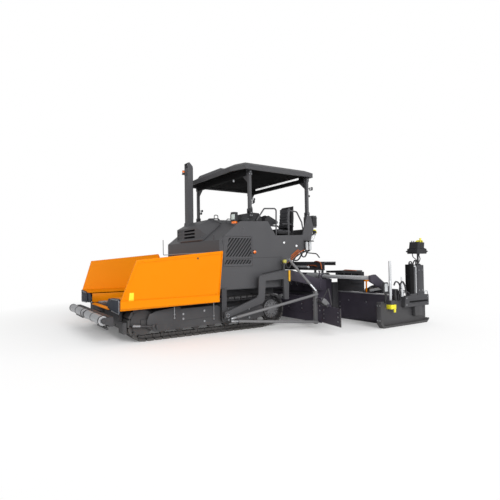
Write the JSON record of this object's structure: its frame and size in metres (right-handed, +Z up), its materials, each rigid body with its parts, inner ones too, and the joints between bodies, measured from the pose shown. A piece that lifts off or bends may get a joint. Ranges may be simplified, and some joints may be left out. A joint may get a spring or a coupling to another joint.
{
  "type": "tracked asphalt paver",
  "caption": "Tracked asphalt paver with folding hopper wings, push rollers, slat conveyors, augers, canopy and a towed screed with sliding extensions and end gates.",
  "frame": {"origin": "on the ground, under the middle of the machine's box", "axes": "+X is the direction of travel, towards the hopper; +Y is the machine's left side; +Z is up"},
  "size_m": [7.37, 5.736, 4.0424],
  "materials": {
    "body_paint": "satin dark grey paint",
    "hopper_paint": "gloss orange paint",
    "canopy_paint": "satin mid grey paint",
    "frame_paint": "matt dark frame paint",
    "screed_paint": "matt near black paint",
    "track_rubber": "black pads on steel links",
    "steel": "worn bare steel",
    "chrome_rod": "plated piston rod",
    "apron_rubber": "black rubber sheet",
    "seat_cover": "black seat cover",
    "engine_iron": "cast iron",
    "console_plastic": "black plastic",
    "roof_plastic": "grey moulded roof"
  },
  "bodies": {
    "tractor": {"track_left": "track_rubber", "track_right": "track_rubber", "track_frames": "frame_paint", "track_wheels": "frame_paint", "main_frame": "frame_paint", "slat_conveyors": "steel", "engine_block": "engine_iron", "body_shell": "body_paint", "exhaust_stack": "body_paint", "operator_platform": "body_paint", "side_cowls": "body_paint", "seats": "seat_cover", "handrails": "body_paint", "tunnel_plates": "screed_paint", "tunnel_braces": "frame_paint"},
    "wing_left": {"hopper_wing_left": "hopper_paint", "rubber_apron_left": "apron_rubber"},
    "wing_right": {"hopper_wing_right": "hopper_paint", "rubber_apron_right": "apron_rubber"},
    "wing_barrel_left": {"wing_barrel_left": "frame_paint"},
    "wing_barrel_right": {"wing_barrel_right": "frame_paint"},
    "wing_rod_left": {"wing_rod_left": "chrome_rod"},
    "wing_rod_right": {"wing_rod_right": "chrome_rod"},
    "push_beam": {"push_beam": "frame_paint"},
    "push_roller_left": {"push_roller_left": "steel"},
    "push_roller_right": {"push_roller_right": "steel"},
    "auger_left": {"auger_left": "steel"},
    "auger_right": {"auger_right": "steel"},
    "grille_door_left": {"grille_door_left": "body_paint"},
    "grille_door_right": {"grille_door_right": "body_paint"},
    "hood_lid": {"hood_lid": "body_paint"},
    "canopy_posts_front": {"canopy_posts_front": "canopy_paint"},
    "canopy_posts_rear": {"canopy_posts_rear": "canopy_paint"},
    "canopy_roof": {"canopy_roof": "roof_plastic"},
    "tow_points": {"tow_points": "frame_paint"},
    "screed": {"tow_arms": "body_paint", "main_screed": "screed_paint"},
    "lift_barrels": {"lift_barrels": "frame_paint"},
    "lift_rods": {"lift_rods": "chrome_rod"},
    "extension_left": {"screed_extension_left": "screed_paint"},
    "extension_right": {"screed_extension_right": "screed_paint"},
    "end_gate_left": {"end_gate_left": "frame_paint", "control_console_left": "console_plastic"},
    "end_gate_right": {"end_gate_right": "frame_paint", "control_console_right": "console_plastic"}
  },
  "joints": [
    {"name": "wing_fold_left", "type": "hinge", "parent": "tractor", "child": "wing_left", "pos_m": [0, 0.915, 0.8], "axis": [1, 0, 0], "range_deg": [0, 45]},
    {"name": "wing_barrel_swing_left", "type": "hinge", "parent": "tractor", "child": "wing_barrel_left", "pos_m": [3.215, 0.965, 0.61], "axis": [1, 0, 0], "range_deg": [0, 37.48]},
    {"name": "wing_rod_slide_left", "type": "slide", "parent": "wing_barrel_left", "child": "wing_rod_left", "axis": [0, 0.914, 0.4057], "range_m": [0, 0.1378]},
    {"name": "wing_fold_right", "type": "hinge", "parent": "tractor", "child": "wing_right", "pos_m": [0, -0.915, 0.8], "axis": [-1, 0, 0], "range_deg": [0, 45]},
    {"name": "wing_barrel_swing_right", "type": "hinge", "parent": "tractor", "child": "wing_barrel_right", "pos_m": [3.215, -0.965, 0.61], "axis": [-1, 0, 0], "range_deg": [0, 37.48]},
    {"name": "wing_rod_slide_right", "type": "slide", "parent": "wing_barrel_right", "child": "wing_rod_right", "axis": [0, -0.914, 0.4057], "range_m": [0, 0.1378]},
    {"name": "push_beam_swing", "type": "hinge", "parent": "tractor", "child": "push_beam", "pos_m": [3.34, 0, 0.42], "axis": [0, 0, 1], "range_deg": [-6, 6]},
    {"name": "push_roller_spin_left", "type": "hinge", "parent": "push_beam", "child": "push_roller_left", "pos_m": [3.6, 0.6, 0.44], "axis": [0, 1, 0], "continuous": true},
    {"name": "auger_spin_left", "type": "hinge", "parent": "tractor", "child": "auger_left", "pos_m": [-1.2, 1, 0.43], "axis": [0, 1, 0], "continuous": true},
    {"name": "grille_door_open_left", "type": "hinge", "parent": "tractor", "child": "grille_door_left", "pos_m": [1.033, 1.261, 1.69], "axis": [0, 0, -1], "range_deg": [0, 100]},
    {"name": "push_roller_spin_right", "type": "hinge", "parent": "push_beam", "child": "push_roller_right", "pos_m": [3.6, -0.6, 0.44], "axis": [0, 1, 0], "continuous": true},
    {"name": "auger_spin_right", "type": "hinge", "parent": "tractor", "child": "auger_right", "pos_m": [-1.2, -1, 0.43], "axis": [0, 1, 0], "continuous": true},
    {"name": "grille_door_open_right", "type": "hinge", "parent": "tractor", "child": "grille_door_right", "pos_m": [1.033, -1.261, 1.69], "axis": [0, 0, 1], "range_deg": [0, 100]},
    {"name": "hood_lid_open", "type": "hinge", "parent": "tractor", "child": "hood_lid", "pos_m": [0.588, 0, 2.494], "axis": [0, -1, 0], "range_deg": [0, 50]},
    {"name": "canopy_fold", "type": "hinge", "parent": "tractor", "child": "canopy_posts_front", "pos_m": [0.24, 0, 2.62], "axis": [0, 1, 0], "range_deg": [-70, 0]},
    {"name": "canopy_rear_follow", "type": "hinge", "parent": "tractor", "child": "canopy_posts_rear", "pos_m": [-1.525, 0, 2.62], "axis": [0, 1, 0], "range_deg": [-70, 0]},
    {"name": "canopy_roof_level", "type": "hinge", "parent": "canopy_posts_front", "child": "canopy_roof", "pos_m": [0.24, 0, 3.45], "axis": [0, 1, 0], "range_deg": [0, 70]},
    {"name": "tow_point_level", "type": "slide", "parent": "tractor", "child": "tow_points", "axis": [0, 0, 1], "range_m": [-0.1, 0.05]},
    {"name": "screed_lift", "type": "hinge", "parent": "tow_points", "child": "screed", "pos_m": [1.07, 0, 0.36], "axis": [0, 1, 0], "range_deg": [0, 5]},
    {"name": "lift_barrel_swing", "type": "hinge", "parent": "tractor", "child": "lift_barrels", "pos_m": [-0.59, 0, 1.44], "axis": [0, 1, 0], "range_deg": [-3.61, 0]},
    {"name": "lift_rod_slide", "type": "slide", "parent": "lift_barrels", "child": "lift_rods", "axis": [0.0375, 0, -0.9993], "range_m": [-0.1428, 0]},
    {"name": "extension_slide_left", "type": "slide", "parent": "screed", "child": "extension_left", "axis": [0, 1, 0], "range_m": [-1.235, 0]},
    {"name": "end_gate_lift_left", "type": "slide", "parent": "extension_left", "child": "end_gate_left", "axis": [0, 0, 1], "range_m": [0, 0.12]},
    {"name": "extension_slide_right", "type": "slide", "parent": "screed", "child": "extension_right", "axis": [0, -1, 0], "range_m": [-1.235, 0]},
    {"name": "end_gate_lift_right", "type": "slide", "parent": "extension_right", "child": "end_gate_right", "axis": [0, 0, 1], "range_m": [0, 0.12]}
  ],
  "couplings": [
    {"joint": "wing_barrel_swing_left", "follows": "wing_fold_left", "ratio": 0.81066},
    {"joint": "wing_rod_slide_left", "follows": "wing_fold_left", "m_per_rad": 0.1704},
    {"joint": "wing_barrel_swing_right", "follows": "wing_fold_right", "ratio": 0.81066},
    {"joint": "wing_rod_slide_right", "follows": "wing_fold_right", "m_per_rad": 0.1704},
    {"joint": "canopy_rear_follow", "follows": "canopy_fold", "ratio": 1},
    {"joint": "canopy_roof_level", "follows": "canopy_fold", "ratio": -1},
    {"joint": "lift_barrel_swing", "follows": "screed_lift", "ratio": -0.62139},
    {"joint": "lift_rod_slide", "follows": "screed_lift", "m_per_rad": -1.5903}
  ]
}
